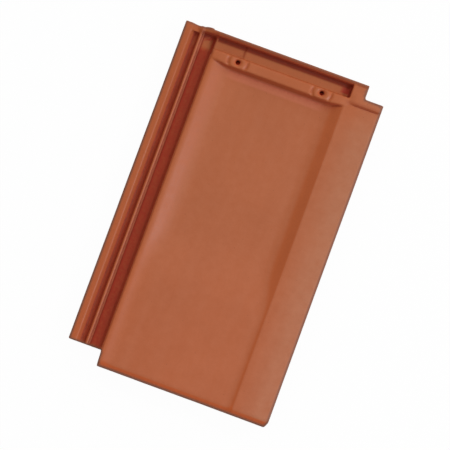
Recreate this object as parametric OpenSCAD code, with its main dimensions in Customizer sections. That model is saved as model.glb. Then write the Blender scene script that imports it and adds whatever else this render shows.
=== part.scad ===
// Flat interlocking clay roof tile, pressed and fired in one piece.
// It lies as it would on a level floor: +X towards the cover flap, +Y towards the head, +Z up.
// Plan positions inside the file are u, from the left edge, and v, from the tail edge.
// Sizes are in millimetres.

/* [Overall] */
// Overall width, from the outer rim of the side lock to the edge of the cover flap
tile_w = 260; // [240:1:290]
// Overall length, from the tail edge to the lug on the head rim
tile_l = 430; // [390:1:480]
// Height of the cover flap and of the pan's left crown above the floor
deck_z = 34; // [33:0.5:40]
// Wall of the pressed shell, measured upright
wall = 10.5; // [9:0.5:11.5]

/* [Pan] */
// Depth of the dished pan in its head half
pan_depth_head = 7.6; // [5:0.2:9]
// Depth of the dished pan at the tail, where it runs nearly flat
pan_depth_tail = 2.6; // [1.5:0.1:4]
// Distance from the tail at which the pan starts to deepen
pan_ramp_start = 118; // [80:1:150]
// Length over which the pan deepens
pan_ramp_l = 72; // [40:1:110]
// Pitch of the pan's left side, in degrees
pan_left_pitch = 20; // [14:0.5:26]
// Pitch of the pan's right side, which rises to the flap
pan_right_pitch = 25; // [18:0.5:35]
// Height over which the pan's floor blends into its sides
pan_blend = 4; // [1:0.5:5]
// Flat top of the crown along the pan's left edge
crown_w = 6; // [4:0.5:9]
// Round on the outer edge of the crown
crown_r = 3; // [1.5:0.5:4]

/* [Cover flap] */
// Width of the flap that covers the neighbour's side lock
flap_w = 45.5; // [44:0.5:50]
// Round on the flap's top edge
flap_r = 2.5; // [1:0.5:4]
// Gap that shows between the flap and the neighbour's crown
joint_gap = 6; // [4:0.5:8]
// Width of the notch at the flap's head corner
notch_w = 24; // [22:0.5:27]
// Length of that notch, by which the flap stops short of the head
notch_l = 17; // [12:0.5:20]
// Width of the head block that carries on beside the notch
block_w = 19; // [14:0.5:22]
// Rise of the flap's head end over the deck
flap_head_rise = 1.2; // [0.4:0.1:1.4]
// Length of that raised head end
flap_head_l = 11.5; // [9:0.5:16]
// Depth of the crease at the foot of that raised end
crease_depth = 1; // [0.4:0.1:1.6]
// Half the width of that crease
crease_half_w = 1.6; // [1.4:0.1:2.4]
// Clipped tail corner of the flap, across the tile
corner_clip_w = 3; // [1:0.5:6]
// Clipped tail corner of the flap, along the tile
corner_clip_l = 7; // [2:0.5:12]

/* [Side lock] */
// Width of the side lock, from its outer edge to the pan's wall
lock_w = 42; // [40:0.5:46]
// How far the side lock stops short of the tail
lock_short = 19.5; // [15:0.5:26]
// Height of the lock's inner rib over its channels
lock_rib_h = 7; // [5:0.5:9]
// Wall under the lock's channels
lock_base = 6; // [5:0.5:7]
// Width of the outer rim's top
lock_rim_w = 9.5; // [8:0.5:10]
// Run of the outer rim's inner side
lock_rim_run = 5; // [3.5:0.5:5]
// Distance of the inner rib's crest from the outer edge
lock_rib_u = 21.4; // [20.6:0.2:22]
// Width of the inner rib's crest
lock_rib_w = 2.6; // [2.2:0.2:4.2]
// Thickness of the wall between the side lock and the pan
lock_wall_t = 7; // [6:0.5:9]
// How far the pan's left edge draws in at the tail, past the side lock
tail_relief = 1.8; // [1:0.1:2.5]
// Slack between a flap and the lock that it covers
lock_slack = 1; // [0.6:0.1:1.6]

/* [Head lock] */
// Rise of the head rim over the deck
rim_rise = 2; // [1:0.2:2.4]
// Thickness of the head rim
rim_t = 4.6; // [4:0.2:6]
// Thickness of the head rim's narrow top
rim_top_t = 1.6; // [1:0.2:2.4]
// Drop of the slope behind that top
rim_slope = 3.4; // [1:0.2:5]
// Lug that stands out of the head rim at its left end
rim_lug = 1.6; // [0.8:0.2:3]
// Rise of the nail lip over the deck
lip_rise = 1; // [0.5:0.1:1.5]
// Distance of the nail lip's top from the head
lip_from_head = 22; // [20.5:0.5:23]
// Width of the nail lip's top at its ends
lip_w = 10; // [8.5:0.5:11]
// How much wider the lip is where it takes the nails
lip_bulge = 2.4; // [1:0.2:4]
// Distance of the pad in the head channel from the left edge
pad_u = 81.5; // [70:0.5:120]
// Rise of that pad
pad_rise = 1.2; // [0.4:0.1:1.6]

/* [Nail holes] */
// Diameter of the nail holes
nail_d = 5.5; // [4:0.1:7]
// Distance of the left nail hole from the left edge
nail_u = 77; // [72:0.5:84]
// Distance between the nail holes
nail_spacing = 107.5; // [90:0.5:112]
// Distance of the nail holes from the head
nail_from_head = 27.5; // [26:0.5:29]
// Diameter of the sink that takes a nail's head
sink_d = 12; // [8:0.5:14]
// Depth of that sink
sink_depth = 2; // [1:0.1:3]
// Diameter of the flat seat around each nail hole
seat_d = 19; // [16:0.5:20]
// Width of the sunk ring around each seat
ring_w = 5; // [4:0.5:6]
// Depth of that ring under the nail lip
ring_depth = 1.4; // [0.8:0.1:1.9]

/* [Tail] */
// Length of the rounded nose along the tail
nose_l = 10; // [6:0.5:14]
// Drop of the rounded nose
nose_h = 9; // [5:0.5:11]
// Thickness of the tail lip that hangs under the nose
tail_lip_t = 11.5; // [9:0.5:14]
// How far the tail laps over the tile below
course_lap = 61; // [58:0.5:64]
// Thickness of the cross rib that drops into the head channel of the tile below
cross_rib_t = 7; // [5:0.5:8]
// Distance of that rib's middle from the head of the tile below
cross_rib_seat = 12.5; // [11.5:0.5:13.5]

/* [Nibs] */
// Height of the nibs that hook over the batten
nib_h = 12; // [10:0.5:14]
// Width of each nib
nib_w = 36; // [24:1:44]
// Length of each nib along the tile
nib_l = 13; // [10:0.5:15]
// Distance between the middles of the two nibs
nib_spacing = 100; // [80:1:116]

/* [Hidden] */

// Colour of the fired clay
clay = [0.66, 0.36, 0.23];

// Run of a moulded rib's or step's flank over its height
draft = 1;
// Round on the edges of ribs and lips
edge_r = 1.5;
// Segments in a small round
round_steps = 4;
// Segments around a nail hole
hole_steps = 64;
// How far a form is sunk into the wall that carries it
bite = 3;
// How far the head rim stands proud of the shell and the side lock
rim_proud = 0.6;
// Length over which the sheet changes, under the nail lip, from the pan to the head floor
turn_l = 6;
// Run of the nail lip's step to the pan
lip_run = 4.5;
// Length over which the nail lip's right end and the flap's raised head run out
run_out = 9;
// Length over which the flap's raised head falls back to the head block
block_fall = 6;

// Levels
flap_under_z = deck_z - wall;
head_floor_z = nib_h + wall;
lip_z = deck_z + lip_rise;
rim_z = deck_z + rim_rise;
lock_rib_z = flap_under_z - lock_slack;
lock_rim_z = lock_rib_z - lock_slack;
lock_floor_z = lock_rib_z - lock_rib_h;
lock_base_z = lock_floor_z - lock_base;

// Plan lines
head_v = tile_l - rim_lug;
shell_end_v = head_v - rim_proud;
flap_u = tile_w - flap_w;
crown_u = lock_w + crown_w;
cover_w = tile_w - lock_w + joint_gap;
cavity_u = cover_w - lock_slack;
block_end_u = tile_w - notch_w;
block_u = block_end_u - block_w;
flap_head_v = head_v - notch_l - flap_head_l;
block_fall_v = head_v - notch_l + block_fall;
lip_v = head_v - lip_from_head;
lip_tail_v = lip_v - lip_w;
turn_v = lip_v - lip_w / 2;
nail_v = head_v - nail_from_head;
groove_u = lock_rim_w + lock_rim_run;
rib_end_u = lock_rib_u + lock_rib_w;

// Cover ribs under the flap: one for the lock's outer groove and one for its main channel
groove_rib = [cover_w + groove_u, cover_w + lock_rib_u - 1.5 * draft - lock_slack];
channel_rib_u = cover_w + rib_end_u + draft + 2 * lock_slack;
cover_rib_z = lock_floor_z + lock_slack;

function unit(p) = p / norm(p);
function mix(a, b, t) = a + (b - a) * t;
function clamp01(t) = max(0, min(1, t));
function smoothstep(t) = let (c = clamp01(t)) c * c * (3 - 2 * c);
// Larger of two heights, blended over a height of k
function soft_max(a, b, k) = let (h = max(k - abs(a - b), 0) / k) max(a, b) + h * h * k / 4;
// Zero before the origin and t after it, with a round of half-length b between
function soft_ramp(t, b) = t <= -b ? 0 : t >= b ? t : (t + b) * (t + b) / (4 * b);
// Drop of a quarter-ellipse round of length l and height h, at distance t from its edge
function round_drop(t, l, h) = t >= l ? 0 : h * (1 - sqrt(max(0, 1 - pow(1 - max(t, 0) / l, 2))));

function sorted(list) = len(list) < 2 ? list : let (p = list[floor(len(list) / 2)]) concat(
    sorted([for (x = list) if (x < p) x]),
    [for (x = list) if (x == p) x],
    sorted([for (x = list) if (x > p) x]));
// Sorted values with near-equal ones dropped
function spread(list, gap) = let (s = sorted(list))
    [for (i = [0 : len(s) - 1]) if (i == 0 || s[i] - s[i - 1] > gap) s[i]];

// Points of a rounded corner at p, between a and b
function corner(a, p, b, r) = let (
    da = unit(a - p),
    db = unit(b - p),
    half = acos(max(-1, min(1, da * db))) / 2,
    t = min(r / tan(half), 0.48 * min(norm(a - p), norm(b - p))),
    c = p + unit(da + db) * t / cos(half),
    s = p + da * t - c,
    turn = da[0] * db[1] > da[1] * db[0] ? 2 * half - 180 : 180 - 2 * half
) r <= 0 ? [p] : [for (i = [0 : round_steps]) let (q = turn * i / round_steps)
    c + [s[0] * cos(q) - s[1] * sin(q), s[0] * sin(q) + s[1] * cos(q)]];
// Outline through corners given as [x, y, radius]
function rounded(path) = let (n = len(path), xy = [for (p = path) [p[0], p[1]]]) [for (i = [0 : n - 1])
    each corner(xy[(i + n - 1) % n], xy[i], xy[(i + 1) % n], path[i][2])];

// Height of the dished pan and the flap, with the pan at the given depth
function pan_left(u) = deck_z - tan(pan_left_pitch) * soft_ramp(u - crown_u, crown_w / 2);
function pan_right(u) = deck_z - tan(pan_right_pitch) * (flap_u - u);
function pan_z(u, depth) = let (k = min(pan_blend, depth)) u >= flap_u ? deck_z :
    soft_max(soft_max(deck_z - depth, pan_left(u), k), pan_right(u), k);
function pan_depth(v) = mix(pan_depth_tail, pan_depth_head, smoothstep((v - pan_ramp_start) / pan_ramp_l));

// Share of the way from the pan to the sunk head floor, which the nail lip hides
function head_share(v) = clamp01((v - turn_v) / turn_l + 0.5);
function head_top(u) = mix(head_floor_z, deck_z, clamp01((u - block_u) / draft));
function head_under(u) = mix(head_floor_z, deck_z, clamp01((u - cavity_u + draft) / draft)) - wall;
// Rise of the flap's head end, with the crease at its foot and the fall to the head block
function flap_rise_along(v) = flap_head_rise
    * min(clamp01((v - flap_head_v) / flap_head_rise), clamp01((block_fall_v - v) / block_fall))
    - crease_depth * clamp01(1 - abs(v - flap_head_v) / crease_half_w);
function flap_rise(u, v) = smoothstep((u - block_u) / run_out) * flap_rise_along(v);
// Round on the crown's outer edge, which is tighter along the head floor
function crown_round(v) = mix(crown_r, draft, head_share(v));
function edge_drop(u, v) = round_drop(u - lock_w, crown_round(v), crown_round(v))
    + round_drop(tile_w - u, flap_r, flap_r) + round_drop(v, nose_l, nose_h);
function shell_top(u, v) = mix(pan_z(u, pan_depth(v)), head_top(u), head_share(v))
    + flap_rise(u, v) - edge_drop(u, v);

// Share of a rib's full height at u, for a rib from a to b with drafted flanks
function rib_share(u, a, b) = min(clamp01((u - a + draft) / draft), clamp01((b + draft - u) / draft));
function cover_rib_share(u) = max(rib_share(u, groove_rib[0], groove_rib[1]),
    rib_share(u, channel_rib_u, tile_w - draft / 2));
// Share of the wall that stands between the side lock and the pan
function lock_wall_share(u) = clamp01((lock_w + lock_wall_t - u) / (2 * draft));
// Underside of the tail lip, which beds on the pan of the tile below
function tail_lip_z(u, v) = pan_z(u, pan_depth_head) - deck_z + pan_depth_head + 2 * (1 - clamp01(v / 2));
function tail_lip_share(v) = clamp01((tail_lip_t - v) / (2 * draft));
function shell_under(u, v) = let (
    sheet = mix(pan_z(u, pan_depth(v)) - wall, head_under(u), head_share(v)),
    walled = mix(sheet, lock_base_z + draft / 2, lock_wall_share(u)),
    ribbed = mix(walled, min(walled, cover_rib_z), cover_rib_share(u))
) mix(ribbed, tail_lip_z(u, v), tail_lip_share(v));

// Lines across and along the shell at which its section is drawn
left_foot = crown_u + (pan_depth_head + pan_blend) / tan(pan_left_pitch);
right_foot = flap_u - (pan_depth_head + pan_blend) / tan(pan_right_pitch);
section_u = spread(concat(
    [for (a = [0 : 30 : 90]) lock_w + crown_r * (1 - cos(a))],
    [lock_w + lock_wall_t - 2 * draft, lock_w + lock_wall_t],
    [for (i = [-1 : 1]) crown_u + i * crown_w / 2],
    [for (i = [1 : 9]) mix(crown_u + crown_w / 2, left_foot, i / 9)],
    [for (i = [0 : 9]) mix(right_foot, flap_u, i / 9)],
    [block_u, block_u + draft, block_u + run_out / 2, block_u + run_out],
    [cavity_u - draft, cavity_u],
    [groove_rib[0] - draft, groove_rib[0], groove_rib[1], groove_rib[1] + draft],
    [channel_rib_u - draft, channel_rib_u, tile_w - draft / 2],
    [for (a = [0 : 30 : 90]) tile_w - flap_r * (1 - cos(a))]
), 0.05);
section_v = spread(concat(
    [for (a = [0 : 15 : 90]) nose_l * (1 - cos(a))],
    [2, tail_lip_t - 2 * draft, tail_lip_t],
    [for (i = [0 : 9]) pan_ramp_start + pan_ramp_l * i / 9],
    [flap_head_v - crease_half_w, flap_head_v, flap_head_v + flap_head_rise, flap_head_v + crease_half_w],
    [block_fall_v - block_fall, block_fall_v],
    [turn_v - turn_l / 2, turn_v + turn_l / 2, shell_end_v]
), 0.05);

// Pressed shell: pan, cover flap with its ribs, tail nose with its lip, and the sunk head floor
module shell() {
    n = len(section_u);
    m = len(section_v);
    function top(i, j) = 2 * n * j + i;
    function under(i, j) = 2 * n * j + n + i;
    function quad(a, b, c, d) = [[a, b, c], [a, c, d]];
    points = [for (v = section_v) each concat(
        [for (u = section_u) [u, v, shell_top(u, v)]],
        [for (u = section_u) [u, v, shell_under(u, v)]])];
    skins = [for (j = [0 : m - 2]) for (i = [0 : n - 2]) each concat(
        quad(top(i, j), top(i, j + 1), top(i + 1, j + 1), top(i + 1, j)),
        quad(under(i, j), under(i + 1, j), under(i + 1, j + 1), under(i, j + 1)))];
    sides = [for (j = [0 : m - 2]) each concat(
        quad(top(0, j), under(0, j), under(0, j + 1), top(0, j + 1)),
        quad(top(n - 1, j), top(n - 1, j + 1), under(n - 1, j + 1), under(n - 1, j)))];
    ends = [for (i = [0 : n - 2]) each concat(
        quad(top(i, 0), top(i + 1, 0), under(i + 1, 0), under(i, 0)),
        quad(top(i, m - 1), under(i, m - 1), under(i + 1, m - 1), top(i + 1, m - 1)))];
    polyhedron(points, concat(skins, sides, ends));
}

// Prism along the tile from v0 to v1, of an outline in u and z
module along(v0, v1) { translate([0, v1, 0]) rotate([90, 0, 0]) linear_extrude(v1 - v0) children(); }
// Prism across the tile from u0 to u1, of an outline in v and z
module across(u0, u1) { translate([u0, 0, 0]) rotate([90, 0, 90]) linear_extrude(u1 - u0) children(); }

// Cuts that shape the shell's plan: the flap's head notch and tail corner, and the drawn-in left edge
module shell_cuts() {
    over = 3 * deck_z;
    translate([block_end_u, head_v - notch_l, 0]) cube([tile_w, tile_l, over]);
    linear_extrude(over) polygon([
        [tile_w - corner_clip_w, -1],
        [tile_w + 1, -1],
        [tile_w + 1, corner_clip_l * (1 + 1 / corner_clip_w)],
        [tile_w - corner_clip_w, 0],
    ]);
    linear_extrude(over) polygon([
        [lock_w - 1, -1],
        [lock_w + tail_relief, -1],
        [lock_w + tail_relief / 2, lock_short],
        [lock_w - 1, lock_short],
    ]);
}

// Side lock: outer rim, outer groove, inner rib and main channel, up to the wall that carries the pan
module side_lock() {
    end_v = tile_l - draft / 2;
    stop_l = 9;
    wall_u = lock_w + lock_wall_t / 2;
    wall_z = head_floor_z - crown_r;
    along(lock_short, end_v) polygon(rounded([
        [0, lock_base_z, 2 * draft],
        [wall_u, lock_base_z, 0],
        [wall_u, wall_z, 0],
        [lock_w + draft / 2, wall_z, 0],
        [lock_w - 2 * draft, lock_floor_z, bite],
        [rib_end_u + draft, lock_floor_z, edge_r],
        [rib_end_u, lock_rib_z, draft],
        [lock_rib_u, lock_rib_z, draft],
        [lock_rib_u - 1.5 * draft, lock_floor_z, edge_r],
        [groove_u, lock_floor_z, 2 * draft],
        [lock_rim_w, lock_rim_z, bite],
        [0, lock_rim_z, bite],
    ]));
    // Closed head end of the outer groove
    along(end_v - stop_l, end_v - rim_proud) polygon([
        [edge_r, lock_base_z + edge_r],
        [lock_rib_u + draft, lock_base_z + edge_r],
        [lock_rib_u + draft, lock_rim_z - draft / 2],
        [edge_r, lock_rim_z - draft / 2],
    ]);
}

// Head rim with its sloped back, which runs down over the side lock and ends there in a small lug
module head_rim() {
    foot_z = nib_h - rim_proud;
    flap_foot_z = flap_under_z + draft;
    start_u = lock_rib_u - lock_rib_w;
    lug_u = lock_w - joint_gap + draft / 2;
    lug_l = 5.5;
    intersection() {
        union() {
            across(start_u, block_end_u) polygon(rounded([
                [head_v, 0, 0],
                [head_v, rim_z, draft],
                [head_v - rim_top_t, rim_z, draft],
                [head_v - rim_t, rim_z - rim_slope, edge_r],
                [head_v - rim_t - 2 * draft, 0, 0],
            ]));
            linear_extrude(rim_z - bite) polygon([
                [start_u, head_v - rim_t / 2],
                [lug_u, head_v - rim_t / 2],
                [lug_u, head_v + rim_lug],
                [lug_u - lug_l, head_v + rim_lug],
                [start_u, head_v],
            ]);
        }
        along(0, tile_l) polygon([
            [start_u - draft, lock_base_z + edge_r],
            [lock_w + bite, lock_base_z + edge_r],
            [lock_w + lock_wall_t + 2 * draft, foot_z],
            [cavity_u - bite, foot_z],
            [cavity_u - bite, flap_foot_z],
            [tile_w, flap_foot_z],
            [tile_w, rim_z + draft],
            [lock_w - 4 * draft, rim_z + draft],
            [start_u - draft, lock_rib_z - edge_r],
        ]);
    }
}

module nail_places() {
    for (u = [nail_u, nail_u + nail_spacing]) translate([u, nail_v, 0]) children();
}

// Length of the nail lip from u0 to u1, with its tail edge at tail_v
module lip_length(u0, u1, tail_v) {
    across(u0, u1) polygon(rounded([
        [lip_v + draft, head_floor_z - bite, 0],
        [lip_v, lip_z, edge_r],
        [tail_v, lip_z, edge_r],
        [tail_v - lip_run, deck_z - pan_depth_head - bite, 0],
    ]));
}

// Sunk ring around a nail's seat
module seat_ring() {
    r0 = seat_d / 2;
    r1 = r0 + ring_w;
    rotate_extrude($fn = hole_steps) polygon([
        [r0, lip_z + draft],
        [r0, lip_z],
        [r0 + ring_depth, lip_z - ring_depth],
        [r1 - ring_depth, lip_z - ring_depth],
        [r1, lip_z],
        [r1, lip_z + draft],
    ]);
}

// Nail lip across the head of the pan, wider where it takes the nails and running out into the flap
module nail_lip() {
    reach = seat_d / 2 + ring_w;
    seat_z = min(flap_under_z, deck_z - pan_depth_head - 2 * draft) + draft;
    over_z = lip_z + draft;
    back_v = lip_tail_v - lip_bulge - 2 * lip_run;
    difference() {
        intersection() {
            hull() {
                lip_length(lock_w, block_u + draft, lip_tail_v);
                lip_length(nail_u - reach, nail_u + nail_spacing + reach, lip_tail_v - lip_bulge);
            }
            // Seat of the lip, which stays inside the sheet
            across(0, tile_w) polygon([
                [lip_v + 2 * draft, over_z],
                [back_v, over_z],
                [back_v, seat_z],
                [turn_v - turn_l / 2, seat_z],
                [turn_v + turn_l / 2, head_floor_z - bite],
                [lip_v + 2 * draft, head_floor_z - bite],
            ]);
            // Ends of the lip
            along(0, tile_l) polygon([
                [lock_w + draft, 0],
                [tile_w, 0],
                [block_u + draft, deck_z + draft / 4],
                [block_u + draft - run_out, lip_z + draft / 10],
                [lock_w + 2 * draft + edge_r, lip_z + draft / 10],
                [lock_w + draft, lip_z - 2 * edge_r],
            ]);
        }
        nail_places() seat_ring();
    }
}

// Low pad on the floor of the head channel
module head_pad() {
    pad_w = block_u + draft / 2 - pad_u;
    pad_l = lip_from_head - rim_t + 2 * draft;
    translate([pad_u, lip_v - draft, head_floor_z - bite]) cube([pad_w, pad_l, bite + pad_rise]);
}

// Nail hole through the lip, with a sink for the nail's head
module nail_hole() {
    flare = (sink_d - nail_d) / sink_depth;
    translate([0, 0, -1]) cylinder(h = 2 * deck_z, d = nail_d, $fn = hole_steps);
    translate([0, 0, lip_z - sink_depth])
        cylinder(h = sink_depth + 1, d1 = nail_d, d2 = sink_d + flare, $fn = hole_steps);
}

// Nib that hooks over the upper edge of a roof batten
module batten_nib() {
    nib_v = head_v - 2.5 * draft;
    root_z = nib_h + bite;
    lean = 2 * draft;
    intersection() {
        across(-nib_w, nib_w) polygon(rounded([
            [nib_v - nib_l, 0, edge_r],
            [nib_v - lean, 0, edge_r],
            [nib_v, root_z, 0],
            [nib_v - nib_l, root_z, 0],
        ]));
        along(0, tile_l) polygon(rounded([
            [-nib_w / 2 + lean, 0, edge_r],
            [nib_w / 2 - lean, 0, edge_r],
            [nib_w / 2, root_z, 0],
            [-nib_w / 2, root_z, 0],
        ]));
    }
}

// Cross rib under the tail, which drops into the head channel of the tile below
module cross_rib() {
    rib_v = course_lap - cross_rib_seat;
    half = cross_rib_t / 2;
    tip_z = draft;
    root_z = deck_z - pan_depth_tail - wall + bite;
    inset = 12;
    across(crown_u + inset, flap_u - inset) polygon(rounded([
        [rib_v - half, tip_z, edge_r],
        [rib_v + half, tip_z, edge_r],
        [rib_v + half + 2 * draft, root_z, 0],
        [rib_v - half - 2 * draft, root_z, 0],
    ]));
}

module clay_tile() {
    color(clay) translate([-tile_w / 2, -tile_l / 2, 0]) difference() {
        union() {
            difference() {
                shell();
                shell_cuts();
            }
            side_lock();
            head_rim();
            nail_lip();
            head_pad();
            for (side = [-1, 1]) translate([tile_w / 2 + side * nib_spacing / 2, 0, 0]) batten_nib();
            cross_rib();
        }
        nail_places() nail_hole();
    }
}

clay_tile();
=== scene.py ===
"""Looks of a flat interlocking clay roof tile, lying on a white floor and seen from above.

Everything is in metres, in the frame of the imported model:
+X towards the cover flap, +Y towards the head, +Z up.
"""

import math

import bmesh
import bpy
from mathutils import Matrix, Vector
from mathutils.bvhtree import BVHTree


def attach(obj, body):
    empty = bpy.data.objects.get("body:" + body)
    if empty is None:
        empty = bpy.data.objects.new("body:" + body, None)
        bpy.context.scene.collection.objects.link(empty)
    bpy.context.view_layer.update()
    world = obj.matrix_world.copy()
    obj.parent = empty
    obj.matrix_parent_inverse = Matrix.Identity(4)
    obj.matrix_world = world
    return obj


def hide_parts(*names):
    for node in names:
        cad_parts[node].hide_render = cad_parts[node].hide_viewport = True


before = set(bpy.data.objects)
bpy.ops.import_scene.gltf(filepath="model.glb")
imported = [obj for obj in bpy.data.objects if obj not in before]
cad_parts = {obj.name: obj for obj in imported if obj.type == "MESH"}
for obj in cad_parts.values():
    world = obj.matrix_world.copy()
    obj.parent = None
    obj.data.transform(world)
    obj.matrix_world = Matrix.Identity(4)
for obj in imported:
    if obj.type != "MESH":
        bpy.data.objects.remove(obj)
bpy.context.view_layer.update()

MM = 0.001
NODE = "clay_tile"
BODY = "root"

# Camera: a square picture, with the tile turned in it and seen from almost straight above
IMAGE_SIDE_PX = 450
SENSOR = 36.0
VIEW_DISTANCE = 2.6
VIEW_FAR = 50
VIEW_TURN = math.radians(20.178)
VIEW_LEAN = math.radians(-3.53)
PIXEL = 1.2006 * MM
AIM_HEIGHT = 30 * MM
AIM_RIGHT_PX = 0.98
AIM_UP_PX = 2.72

# Skin of the tile: how finely it is remade, how far its edges are rounded, and sizes and depths of its waver
MERGE_GAP = 0.001 * MM
SKIN_VOXEL = 1.1 * MM
SKIN_TRIANGLES = 190000
SMOOTHING = 0.5
EDGE_SMOOTHING = 2
WAVER_LEVEL = 0.5
WAVER = ((70 * MM, 0.35 * MM), (9 * MM, 0.08 * MM), (2.6 * MM, 0.03 * MM))

# Marks on the skin: rounds and depth that tell an edge, rays that look for shelter, and steps to the outer rim
EDGE_REACH = 12
EDGE_DEPTH = 0.7 * MM
SHELTER_LIFT = 0.3 * MM
SHELTER_REACH = 60 * MM
SHELTER_RINGS = ((0.2, 5), (0.5, 8), (0.8, 9))
RIM_STEPS = (1.3 * MM, 2.4 * MM, 3.5 * MM)
RIM_TURNS = 8

# Lamps, for matt light and for sheen: turn and rise in degrees, distance, size and power
LAMPS = {"key": (28, 40.5, 1.6, 0.2, 5.0), "sheen": (0, 48, 1.4, 0.25, 15.0)}

# Broad soft lights around the tile, for matt light and for sheen: turn and rise in degrees, and strength
SOFT_LIGHTS = ((60, 30, 1.2), (120, 30, 0.8), (285, 30, 0.94))
SHEEN_LIGHTS = ((0, 40, 0.12),)
LIGHT_FALLOFF = 2.0

# Clay colours, some of them painted sheen, light or shade, and tints of painted light on the tail and the nose
CLAY = (0.435, 0.103, 0.031, 1)
# Painted sheen: a paler colour on up-facing flats, growing towards the flap; also the colour of worn edges
CLAY_SHEEN_AND_WEAR = (0.445, 0.168, 0.085, 1)
# Painted light on the head floor, which lies in the head rim's shade
CLAY_HEAD_LIGHT = (0.48, 0.142, 0.050, 1)
# Painted light below the nail lip and on the rib's flank
CLAY_PAINTED_LIGHT = (0.52, 0.15, 0.075, 1)
# Painted shade: sheltered hollows turn a deeper red
CLAY_HOLLOW_SHADE = (0.40, 0.039, 0.018, 1)
# Painted shade and shadow: groove, below the head wall, crown edge, flap crease and creases
CLAY_PAINTED_SHADE = (0.24, 0.026, 0.006, 1)
# Painted shade along the rounded outer rim
CLAY_RIM_SHADE = (0.25, 0.088, 0.048, 1)
CLAY_SPECK = (0.16, 0.05, 0.025, 1)
CLAY_UNDER = (0.47, 0.16, 0.075, 1)
# Painted light: warmer and brighter towards the tail, and on the nose
TAIL_LIGHT_TINT = (1.06, 1.01, 1.02, 1)
NOSE_LIGHT_TINT = (1.14, 1.0, 0.85, 1)

# Lines of the tile, in millimetres across or along it: from, to and soft margin
RIM_INSIDE = (-122, -117.5, 2)
# Groove, crown edge, head wall and flap crease below carry painted shade; the rib's flank painted light
GROOVE = (-115, -112, 2)
RIB_FLANK = (-106.5, -104, 1)
CROWN_EDGE = (-89, -86.5, 1.5)
HEAD_WALL = (-84, 84, 2)
FLAP_CREASE = (186, 187, 4)

# Parts of the tile, each a line across it and a line along it
# Band below the nail lip, which gets painted light
BELOW_LIP = ((-50, 50, 16), (167, 173, 4))
NAIL_LIP = ((-72, 68, 8), (166, 198, 4))
NAIL_HOLES = ((-68, 70, 3), (177, 195, 3))
LIP_BACK = ((-86, 84, 2), (190, 195, 2))
# Head floor, which gets painted light
HEAD_FLOOR = ((-110, 73, 6), (194, 202, 8))

# Where a tint starts and where it is full, in millimetres across or along the tile
# Painted sheen on the flats: across from the left, across to the right, and along towards the head
SHEEN_PAINT_LEFT = (-105, -60)
SHEEN_PAINT_RIGHT = (80, 125)
SHEEN_PAINT_HEAD = (150, 185)
# Painted light towards the tail and on the nose
TAIL = (60, -190)
NOSE = (-201, -206)
# Painted shade of the flap's crease starts across here; painted shadow below the head wall fades in and out
# along here
FLAP_CREASE_START = (82, 92)
WALL_FOOT = (201.2, 204.4)
WALL_TOP = (208.8, 206.8)
HEAD_EDGE = (207, 209)

# Where a tint starts and is full, by how far the skin faces up
# Painted sheen only where the skin faces up
UP_SHEEN_PAINT = (0.93, 0.985)
UP_NOSE = (1.0, 0.9)
UP_UNDERSIDE = (-0.2, -0.7)
UP_HEAD_FLOOR = (0.8, 0.98)
UP_HOLLOW = (0.2, 0.8)
UP_FRINGE = (0.0, 0.4)

# The same by how sheltered it is, how sharp its edges and creases are, and how near the outer rim it is
SHELTER_HEAD_FLOOR = (0.1, 0.25)
SHELTER_HEAD_END = (0.62, 0.44)
SHELTER_HOLLOW = (0.02, 0.55)
SHELTER_GROOVE_AND_WALL_SHADE = (0.05, 0.25)
SHELTER_ROUGH = (0.1, 0.4)
SHARP_CREASE = (-0.08, -0.35)
SHARP_EDGE = (0.2, 0.7)
NEAR_RIM = (0.0, 0.8)

# How strong each tint is
# Strength of the painted sheen on the left and on the right
SHEEN_PAINT_LEFT_SHARE = 0.35
SHEEN_PAINT_RIGHT_SHARE = 0.5
# Strength of painted light below the nail lip, and of painted shade in the groove, below the head wall, at the
# crown and in creases
BELOW_LIP_SHARE = 0.8
GROOVE_SHARE = 0.3
WALL_SHARE = 0.95
CROWN_SHARE = 0.28
FLAP_CREASE_SHARE = 0.3
CREASE_SHARE = 0.7
WORN_SHARE = 0.25
SPECK_SHARE = 0.5

# Share of a tint that is left where another mark or place changes it
# Painted sheen: share left by the patches, and at the head
SHEEN_PAINT_BY_PATCHES = (0.85, 1.15)
SHEEN_PAINT_AT_HEAD = 0.55
HOLLOW_ON_HEAD_FLOOR = 0.05
HOLLOW_ON_STEEP = 0.55
HOLLOW_ON_RIB = 0.1
HOLLOW_ON_LIP_BACK = 0.1
CREASE_ON_LIP = 0.5
FRINGE_ON_STEEP = 0.7
FRINGE_AT_HEAD = 0.75

# Unevenness of the clay: size of each kind of noise and its share of the tone
CLOUDS = (60 * MM, 0.12)
MOTTLE = (9 * MM, 0.07)
FLECK = (2.2 * MM, 0.10)
STREAKS = (12 * MM, 0.03)
STREAK_STRETCH = (1.0, 0.1, 1.0)
NOISE_MIDDLE = 0.5
NOISE_DETAIL = 2.0
NOISE_ROUGHNESS = 0.55
PATCH_LEVEL = 0.5
PATCH_CONTRAST = 1.6
SPECK_CELL = 7 * MM
SPECK_SIZE = (0.09, 0.04)
SPECK_CHOICE = (0.55, 0.9)
PORE_CELL = 3 * MM
PORE_SIZE = (0.16, 0.04)
PORE_DEPTH = -0.5
GRAIN_SIZE = 0.8 * MM
GRAIN_HEIGHT = 0.6

# Surface of the clay
ROUGHNESS = 0.38
PATCH_ROUGHNESS = 0.1
SHELTER_ROUGHNESS = 0.3
RIM_ROUGHNESS = 0.25
SHEEN_LEVEL = 0.2
BUMP_STRENGTH = 0.3
BUMP_DEPTH = 0.2 * MM

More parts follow.
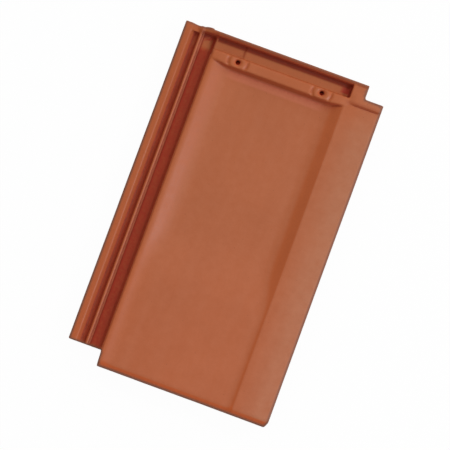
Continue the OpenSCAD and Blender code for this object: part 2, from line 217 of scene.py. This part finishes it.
# Floor: its size, how white it shows, and its places under the tile and under the nail holes
FLOOR_HALF = 8.0
FLOOR_GREY = (0.8, 0.8, 0.8, 1)
FLOOR_ROUGHNESS = 0.9
FLOOR_WHITE = 0.97
FLOOR_UNDER_WIDTH = ((-110, 110, 12), (-178, 180, 12))
FLOOR_UNDER_LENGTH = ((-74, 94, 10), (-200, 201, 10))
FLOOR_UNDER_HOLES = ((-80, 80, 10), (165, 195, 10))
# Painted shade: the floor under the nail holes glows this dark red
HOLE_SHADE = (0.10, 0.006, 0.002, 1)
WHITE = (1, 1, 1, 1)


def new_object(name, mesh):
    """An object at the origin that shows the mesh."""
    piece = bpy.data.objects.new(name, mesh)
    bpy.context.scene.collection.objects.link(piece)
    return piece


def applied(piece):
    """Fixes the modifiers of a piece into its mesh."""
    depsgraph = bpy.context.evaluated_depsgraph_get()
    mesh = bpy.data.meshes.new_from_object(piece.evaluated_get(depsgraph))
    piece.modifiers.clear()
    piece.data = mesh


def soften(piece, rounds):
    """Smooths a piece in a number of rounds."""
    smooth = piece.modifiers.new("soften", "SMOOTH")
    smooth.factor = SMOOTHING
    smooth.iterations = rounds


def pressed_tile():
    """The tile's solid with the soft edges and slight unevenness that pressing and firing leave."""
    shape = bmesh.new()
    shape.from_mesh(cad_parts[NODE].data)
    bmesh.ops.remove_doubles(shape, verts=shape.verts, dist=MERGE_GAP)
    mesh = bpy.data.meshes.new("pressed_tile")
    shape.to_mesh(mesh)
    shape.free()
    piece = new_object("pressed_tile", mesh)
    skin = piece.modifiers.new("skin", "REMESH")
    skin.mode = "VOXEL"
    skin.voxel_size = SKIN_VOXEL
    skin.use_smooth_shade = True
    soften(piece, EDGE_SMOOTHING)
    for number, (size, depth) in enumerate(WAVER):
        texture = bpy.data.textures.new(f"waver_{number}", "CLOUDS")
        texture.noise_scale = size
        waver = piece.modifiers.new("waver", "DISPLACE")
        waver.texture = texture
        waver.texture_coords = "LOCAL"
        waver.strength = depth
        waver.mid_level = WAVER_LEVEL
    applied(piece)
    thin = piece.modifiers.new("thin", "DECIMATE")
    thin.ratio = min(1.0, SKIN_TRIANGLES / (2 * len(piece.data.polygons)))
    applied(piece)
    return piece


def turns(count, start=0.0):
    """Angles spread evenly over a full turn."""
    return [2 * math.pi * (i + start) / count for i in range(count)]


def marked(piece):
    """Marks the skin for its finish: shelter, edges and creases, the outer rim and which way is up."""
    mesh = piece.data
    tree = BVHTree.FromObject(piece, bpy.context.evaluated_depsgraph_get())
    soften(piece, EDGE_REACH)
    softer = piece.evaluated_get(bpy.context.evaluated_depsgraph_get()).data
    softened = [vertex.co.copy() for vertex in softer.vertices]
    piece.modifiers.clear()
    rays = []
    for spread, count in SHELTER_RINGS:
        out, rise = math.sqrt(spread), math.sqrt(1 - spread)
        rays += [Vector((out * math.cos(turn), out * math.sin(turn), rise)) for turn in turns(count, spread)]
    around = [Vector((math.cos(turn), math.sin(turn), 0)) for turn in turns(RIM_TURNS)]
    above = Vector((0, 0, 1))

    def beside_open(place, step):
        """Whether there is nothing of the tile a step away, seen from above."""
        return any(tree.ray_cast(place + way * step + above, -above)[0] is None for way in around)

    marks = {"shelter": [], "edge": [], "rim": [], "up": []}
    for vertex, soft in zip(mesh.vertices, softened):
        normal = vertex.normal
        start = vertex.co + normal * SHELTER_LIFT
        turned = normal.to_track_quat("Z", "Y")
        met = sum(tree.ray_cast(start, turned @ ray, SHELTER_REACH)[0] is not None for ray in rays)
        marks["shelter"].append(met / len(rays))
        marks["edge"].append(max(-1.0, min(1.0, (vertex.co - soft).dot(normal) / EDGE_DEPTH)))
        marks["rim"].append(sum(beside_open(vertex.co, step) for step in RIM_STEPS) / len(RIM_STEPS))
        marks["up"].append(normal.z)
    for name, values in marks.items():
        mesh.attributes.new(name, "FLOAT", "POINT").data.foreach_set("value", values)


def put(tree, kind, inputs=None, **settings):
    """Adds a node, sets its properties and feeds its sockets with values or with other nodes' outputs."""
    made = tree.nodes.new(kind)
    for name, value in settings.items():
        setattr(made, name, value)
    for socket, value in (inputs or {}).items():
        if isinstance(value, bpy.types.NodeSocket):
            tree.links.new(value, made.inputs[socket])
        else:
            made.inputs[socket].default_value = value
    return made


def maths(tree, operation, *values, clamp=False):
    """A sum, product or other operation on values."""
    made = put(tree, "ShaderNodeMath", dict(enumerate(values)), operation=operation, use_clamp=clamp)
    return made.outputs["Value"]


def times(tree, first, *others):
    """Product of values."""
    for other in others:
        first = maths(tree, "MULTIPLY", first, other)
    return first


def most(tree, first, *others):
    """Largest of values."""
    for other in others:
        first = maths(tree, "MAXIMUM", first, other)
    return first


def between(tree, value, low, high):
    """Goes from low to high as a value goes from 0 to 1."""
    return maths(tree, "MULTIPLY_ADD", value, high - low, low)


def ramp(tree, value, start, end):
    """Goes smoothly from 0 at start to 1 at end."""
    made = put(tree, "ShaderNodeMapRange", {"Value": value, "From Min": start, "From Max": end},
               interpolation_type="SMOOTHSTEP")
    return made.outputs["Result"]


def fade(tree, value, start, end):
    """A ramp over a length in millimetres."""
    return ramp(tree, value, start * MM, end * MM)


def band(tree, value, start, end, soft):
    """Is 1 from start to end and fades out within a soft margin on both sides, all in millimetres."""
    return times(tree, fade(tree, value, start - soft, start), fade(tree, value, end + soft, end))


def area(tree, spot, lines):
    """Is 1 in a part of the tile or floor that is given by a line across it and a line along it."""
    across, along = lines
    return times(tree, band(tree, spot.outputs["X"], *across), band(tree, spot.outputs["Y"], *along))


def mixed(tree, share, first, second, blend="MIX"):
    """A colour between two colours."""
    made = put(tree, "ShaderNodeMix", {0: share, 6: first, 7: second}, data_type="RGBA", blend_type=blend)
    return made.outputs[2]


def tinted(tree, share, colour, tint):
    """A colour that takes on a tint by a share."""
    return mixed(tree, share, colour, mixed(tree, 1.0, colour, tint, "MULTIPLY"))


def mark(tree, name):
    """A mark that the skin carries."""
    return put(tree, "ShaderNodeAttribute", attribute_name=name).outputs["Fac"]


def noise(tree, place, size):
    """Soft noise of a size, around 0."""
    made = put(tree, "ShaderNodeTexNoise",
               {"Vector": place, "Scale": 1 / size, "Detail": NOISE_DETAIL, "Roughness": NOISE_ROUGHNESS})
    return maths(tree, "SUBTRACT", made.outputs["Fac"], NOISE_MIDDLE)


def unevenness():
    """Group of nodes: tone of fired clay around 1, broken patches, dark specks, and height of the grain."""
    group = bpy.data.node_groups.new("unevenness", "ShaderNodeTree")
    group.interface.new_socket("Place", in_out="INPUT", socket_type="NodeSocketVector")
    for name in ("Tone", "Patches", "Specks", "Height"):
        group.interface.new_socket(name, in_out="OUTPUT", socket_type="NodeSocketFloat")
    place = group.nodes.new("NodeGroupInput").outputs["Place"]
    stretched = put(group, "ShaderNodeVectorMath", {0: place, 1: STREAK_STRETCH}, operation="MULTIPLY")
    clouds, mottle, fleck = (noise(group, place, size) for size, share in (CLOUDS, MOTTLE, FLECK))
    streaks = noise(group, stretched.outputs["Vector"], STREAKS[0])
    tone = 1.0
    for kind, (size, share) in ((clouds, CLOUDS), (mottle, MOTTLE), (fleck, FLECK), (streaks, STREAKS)):
        tone = maths(group, "MULTIPLY_ADD", kind, share, tone)
    patches = maths(group, "MULTIPLY_ADD", mottle, PATCH_CONTRAST, PATCH_LEVEL)
    patches = maths(group, "MULTIPLY_ADD", streaks, PATCH_CONTRAST, patches, clamp=True)
    cells = put(group, "ShaderNodeTexVoronoi", {"Vector": place, "Scale": 1 / SPECK_CELL})
    chosen = put(group, "ShaderNodeSeparateColor", {0: cells.outputs["Color"]}).outputs["Red"]
    specks = times(group, ramp(group, cells.outputs["Distance"], *SPECK_SIZE),
                   ramp(group, chosen, *SPECK_CHOICE))
    pores = put(group, "ShaderNodeTexVoronoi", {"Vector": place, "Scale": 1 / PORE_CELL})
    pits = times(group, ramp(group, pores.outputs["Distance"], *PORE_SIZE), PORE_DEPTH)
    height = maths(group, "MULTIPLY_ADD", noise(group, place, GRAIN_SIZE), GRAIN_HEIGHT, pits)
    out = group.nodes.new("NodeGroupOutput")
    for name, value in {"Tone": tone, "Patches": patches, "Specks": specks, "Height": height}.items():
        group.links.new(value, out.inputs[name])
    return group


def clay():
    """Fired clay: a warm body with a painted sheen on its flats, painted light and shade in hollows, creases
    and bands, and painted shade along the outer rim.
    """
    material = bpy.data.materials.new("clay")
    material.use_nodes = True
    tree = material.node_tree
    shader = tree.nodes["Principled BSDF"]
    place = put(tree, "ShaderNodeTexCoord").outputs["Object"]
    spot = put(tree, "ShaderNodeSeparateXYZ", {0: place})
    across, along = spot.outputs["X"], spot.outputs["Y"]
    shelter, edge, rim, up = (mark(tree, name) for name in ("shelter", "edge", "rim", "up"))
    uneven = put(tree, "ShaderNodeGroup", node_tree=unevenness())
    tree.links.new(place, uneven.inputs["Place"])
    tone, patches, specks, height = (uneven.outputs[name] for name in ("Tone", "Patches", "Specks", "Height"))

    # Body, with a painted sheen on its flats that grows towards the flap, painted light towards the tail and
    # on the nose, and the underside's own tint
    painted_sheen = times(tree, fade(tree, across, *SHEEN_PAINT_LEFT), SHEEN_PAINT_LEFT_SHARE)
    painted_sheen = maths(tree, "MULTIPLY_ADD", fade(tree, across, *SHEEN_PAINT_RIGHT), SHEEN_PAINT_RIGHT_SHARE, painted_sheen)
    painted_sheen = times(tree, painted_sheen, ramp(tree, up, *UP_SHEEN_PAINT), between(tree, patches, *SHEEN_PAINT_BY_PATCHES),
                  between(tree, fade(tree, along, *SHEEN_PAINT_HEAD), 1.0, SHEEN_PAINT_AT_HEAD))
    colour = mixed(tree, painted_sheen, CLAY, CLAY_SHEEN_AND_WEAR)
    colour = tinted(tree, fade(tree, along, *TAIL), colour, TAIL_LIGHT_TINT)
    nose = times(tree, fade(tree, along, *NOSE), ramp(tree, up, *UP_NOSE))
    colour = tinted(tree, nose, colour, NOSE_LIGHT_TINT)
    colour = mixed(tree, ramp(tree, up, *UP_UNDERSIDE), colour, CLAY_UNDER)

    # Painted light below the nail lip, on the head floor and on the rib's flank, and painted shade that turns
    # the hollows deeper red, which spares the rib and the lip's back
    colour = mixed(tree, times(tree, area(tree, spot, BELOW_LIP), BELOW_LIP_SHARE), colour, CLAY_PAINTED_LIGHT)
    head = times(tree, area(tree, spot, HEAD_FLOOR), ramp(tree, up, *UP_HEAD_FLOOR),
                 ramp(tree, shelter, *SHELTER_HEAD_FLOOR), ramp(tree, shelter, *SHELTER_HEAD_END))
    colour = mixed(tree, head, colour, CLAY_HEAD_LIGHT)
    flank = band(tree, across, *RIB_FLANK)
    rib = most(tree, flank, band(tree, across, *RIM_INSIDE))
    lip_back = area(tree, spot, LIP_BACK)
    # Painted shade in sheltered hollows, held back on the head floor, steep walls, the rib and the lip's back
    hollow_shade = times(tree, ramp(tree, shelter, *SHELTER_HOLLOW), between(tree, head, 1.0, HOLLOW_ON_HEAD_FLOOR),
                   between(tree, ramp(tree, up, *UP_HOLLOW), HOLLOW_ON_STEEP, 1.0),
                   between(tree, rib, 1.0, HOLLOW_ON_RIB), between(tree, lip_back, 1.0, HOLLOW_ON_LIP_BACK))
    colour = mixed(tree, flank, colour, CLAY_PAINTED_LIGHT)
    colour = mixed(tree, hollow_shade, colour, CLAY_HOLLOW_SHADE)

    # Painted shade and shadow as dark lines: groove, the head wall and the floor below it, the crown's outer
    # edge, the flap's crease and other creases
    wall = times(tree, fade(tree, along, *WALL_FOOT), fade(tree, along, *WALL_TOP),
                 band(tree, across, *HEAD_WALL))
    groove_and_wall_shade = most(tree, times(tree, band(tree, across, *GROOVE), GROOVE_SHARE), times(tree, wall, WALL_SHARE))
    groove_and_wall_shade = times(tree, groove_and_wall_shade, ramp(tree, shelter, *SHELTER_GROOVE_AND_WALL_SHADE))
    crown = times(tree, band(tree, across, *CROWN_EDGE), CROWN_SHARE)
    fold = times(tree, band(tree, along, *FLAP_CREASE), fade(tree, across, *FLAP_CREASE_START),
                 FLAP_CREASE_SHARE)
    clear = most(tree, times(tree, area(tree, spot, NAIL_LIP), 1 - CREASE_ON_LIP), rib, lip_back)
    crease = times(tree, ramp(tree, edge, *SHARP_CREASE), CREASE_SHARE, between(tree, clear, 1.0, 0.0))
    colour = mixed(tree, most(tree, crease, groove_and_wall_shade, crown, fold), colour, CLAY_PAINTED_SHADE)

    # Worn edges, painted shade along the outer rim, specks and tone
    worn = times(tree, ramp(tree, edge, *SHARP_EDGE), patches, WORN_SHARE)
    colour = mixed(tree, worn, colour, CLAY_SHEEN_AND_WEAR)
    fringe = times(tree, ramp(tree, rim, *NEAR_RIM),
                   between(tree, ramp(tree, up, *UP_FRINGE), FRINGE_ON_STEEP, 1.0),
                   between(tree, area(tree, spot, NAIL_HOLES), 1.0, 0.0),
                   between(tree, fade(tree, along, *HEAD_EDGE), 1.0, FRINGE_AT_HEAD))
    colour = mixed(tree, fringe, colour, CLAY_RIM_SHADE)
    colour = mixed(tree, times(tree, specks, SPECK_SHARE), colour, CLAY_SPECK)
    toned = put(tree, "ShaderNodeCombineColor", {0: tone, 1: tone, 2: tone}).outputs["Color"]
    colour = mixed(tree, 1.0, colour, toned, "MULTIPLY")
    tree.links.new(colour, shader.inputs["Base Color"])

    rough = maths(tree, "MULTIPLY_ADD", patches, PATCH_ROUGHNESS, ROUGHNESS)
    rough = maths(tree, "MULTIPLY_ADD", ramp(tree, shelter, *SHELTER_ROUGH), SHELTER_ROUGHNESS, rough)
    rough = maths(tree, "MULTIPLY_ADD", rim, RIM_ROUGHNESS, rough)
    tree.links.new(rough, shader.inputs["Roughness"])
    shader.inputs["Specular IOR Level"].default_value = SHEEN_LEVEL
    bump = put(tree, "ShaderNodeBump", {"Height": height, "Strength": BUMP_STRENGTH, "Distance": BUMP_DEPTH})
    tree.links.new(bump.outputs["Normal"], shader.inputs["Normal"])
    return material


def floor():
    """White floor with a light shadow, in real shade under the tile, and with a painted dark red shade that
    glows under its nail holes.
    """
    mesh = bpy.data.meshes.new("floor")
    shape = bmesh.new()
    bmesh.ops.create_grid(shape, x_segments=1, y_segments=1, size=FLOOR_HALF)
    shape.to_mesh(mesh)
    shape.free()
    ground = new_object("floor", mesh)
    material = bpy.data.materials.new("floor")
    material.use_nodes = True
    tree = material.node_tree
    shader = tree.nodes["Principled BSDF"]
    shader.inputs["Base Color"].default_value = FLOOR_GREY
    shader.inputs["Roughness"].default_value = FLOOR_ROUGHNESS
    shader.inputs["Specular IOR Level"].default_value = 0.0
    path = put(tree, "ShaderNodeLightPath")
    seen = maths(tree, "ADD", path.outputs["Is Camera Ray"], path.outputs["Is Glossy Ray"], clamp=True)
    seen = maths(tree, "ADD", seen, path.outputs["Is Transmission Ray"], clamp=True)
    spot = put(tree, "ShaderNodeSeparateXYZ", {0: put(tree, "ShaderNodeTexCoord").outputs["Object"]})
    holes = area(tree, spot, FLOOR_UNDER_HOLES)
    under = most(tree, area(tree, spot, FLOOR_UNDER_WIDTH), area(tree, spot, FLOOR_UNDER_LENGTH))
    shaded = times(tree, under, between(tree, holes, 1.0, 0.0))
    shown = put(tree, "ShaderNodeEmission", {"Color": mixed(tree, holes, WHITE, HOLE_SHADE)})
    share = times(tree, seen, FLOOR_WHITE, between(tree, shaded, 1.0, 0.0))
    surface = put(tree, "ShaderNodeMixShader",
                  {0: share, 1: shader.outputs["BSDF"], 2: shown.outputs["Emission"]})
    tree.links.new(surface.outputs["Shader"], tree.nodes["Material Output"].inputs["Surface"])
    mesh.materials.append(material)


def toward(turn, rise):
    """Direction at a turn from +X and a rise over the floor, in degrees."""
    turn, rise = math.radians(turn), math.radians(rise)
    return Vector((math.cos(turn) * math.cos(rise), math.sin(turn) * math.cos(rise), math.sin(rise)))


def broad_lights(tree, direction, lamps):
    """Brightness of broad soft lights in a direction."""
    total = 0.0
    for turn, rise, strength in lamps:
        facing = put(tree, "ShaderNodeVectorMath", {0: direction, 1: toward(turn, rise)},
                     operation="DOT_PRODUCT").outputs["Value"]
        lit = maths(tree, "POWER", most(tree, facing, 0.0), LIGHT_FALLOFF)
        total = maths(tree, "MULTIPLY_ADD", lit, strength, total)
    return total


def lights():
    """Lamps from the right and the broad soft lights of a white studio."""
    scene = bpy.context.scene
    for name, (turn, rise, distance, size, power) in LAMPS.items():
        data = bpy.data.lights.new(name, "AREA")
        data.shape = "DISK"
        data.size = size
        data.energy = power
        lamp = bpy.data.objects.new(name, data)
        lamp.visible_diffuse = name == "key"
        lamp.visible_glossy = name == "sheen"
        lamp.location = toward(turn, rise) * distance
        lamp.rotation_euler = toward(turn, rise).to_track_quat("Z", "Y").to_euler()
        scene.collection.objects.link(lamp)
    world = bpy.data.worlds.new("studio")
    world.use_nodes = True
    tree = world.node_tree
    path = put(tree, "ShaderNodeLightPath")
    direction = put(tree, "ShaderNodeTexCoord").outputs["Generated"]
    soft = broad_lights(tree, direction, SOFT_LIGHTS)
    sheen = broad_lights(tree, direction, SHEEN_LIGHTS)
    strength = put(tree, "ShaderNodeMix", {0: path.outputs["Is Glossy Ray"], 2: soft, 3: sheen}).outputs[0]
    seen = maths(tree, "ADD", path.outputs["Is Camera Ray"], path.outputs["Is Transmission Ray"], clamp=True)
    strength = put(tree, "ShaderNodeMix", {0: seen, 2: strength, 3: 1.0}).outputs[0]
    background = tree.nodes["Background"]
    background.inputs["Color"].default_value = WHITE
    tree.links.new(strength, background.inputs["Strength"])
    scene.world = world


def camera():
    """Looks down, leaning a little, with the tile turned and placed as in the photograph."""
    scene = bpy.context.scene
    data = bpy.data.cameras.new("camera")
    data.sensor_width = SENSOR
    data.sensor_fit = "HORIZONTAL"
    data.lens = SENSOR * VIEW_DISTANCE / (IMAGE_SIDE_PX * PIXEL)
    data.clip_end = VIEW_FAR
    right = Vector((math.cos(VIEW_TURN), math.sin(VIEW_TURN), 0))
    level = Vector((-math.sin(VIEW_TURN), math.cos(VIEW_TURN), 0))
    back = (Vector((0, 0, 1)) + level * math.tan(VIEW_LEAN)).normalized()
    up = back.cross(right)
    eye = bpy.data.objects.new("camera", data)
    aim = Vector((0, 0, AIM_HEIGHT)) - right * AIM_RIGHT_PX * PIXEL - up * AIM_UP_PX * PIXEL
    eye.location = aim + back * VIEW_DISTANCE
    eye.rotation_euler = Matrix((right, up, back)).transposed().to_euler()
    scene.collection.objects.link(eye)
    scene.camera = eye


bpy.context.scene.view_settings.view_transform = "Standard"
tile = pressed_tile()
marked(tile)
tile.data.materials.clear()
tile.data.materials.append(clay())
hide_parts(NODE)
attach(tile, BODY)
floor()
lights()
camera()
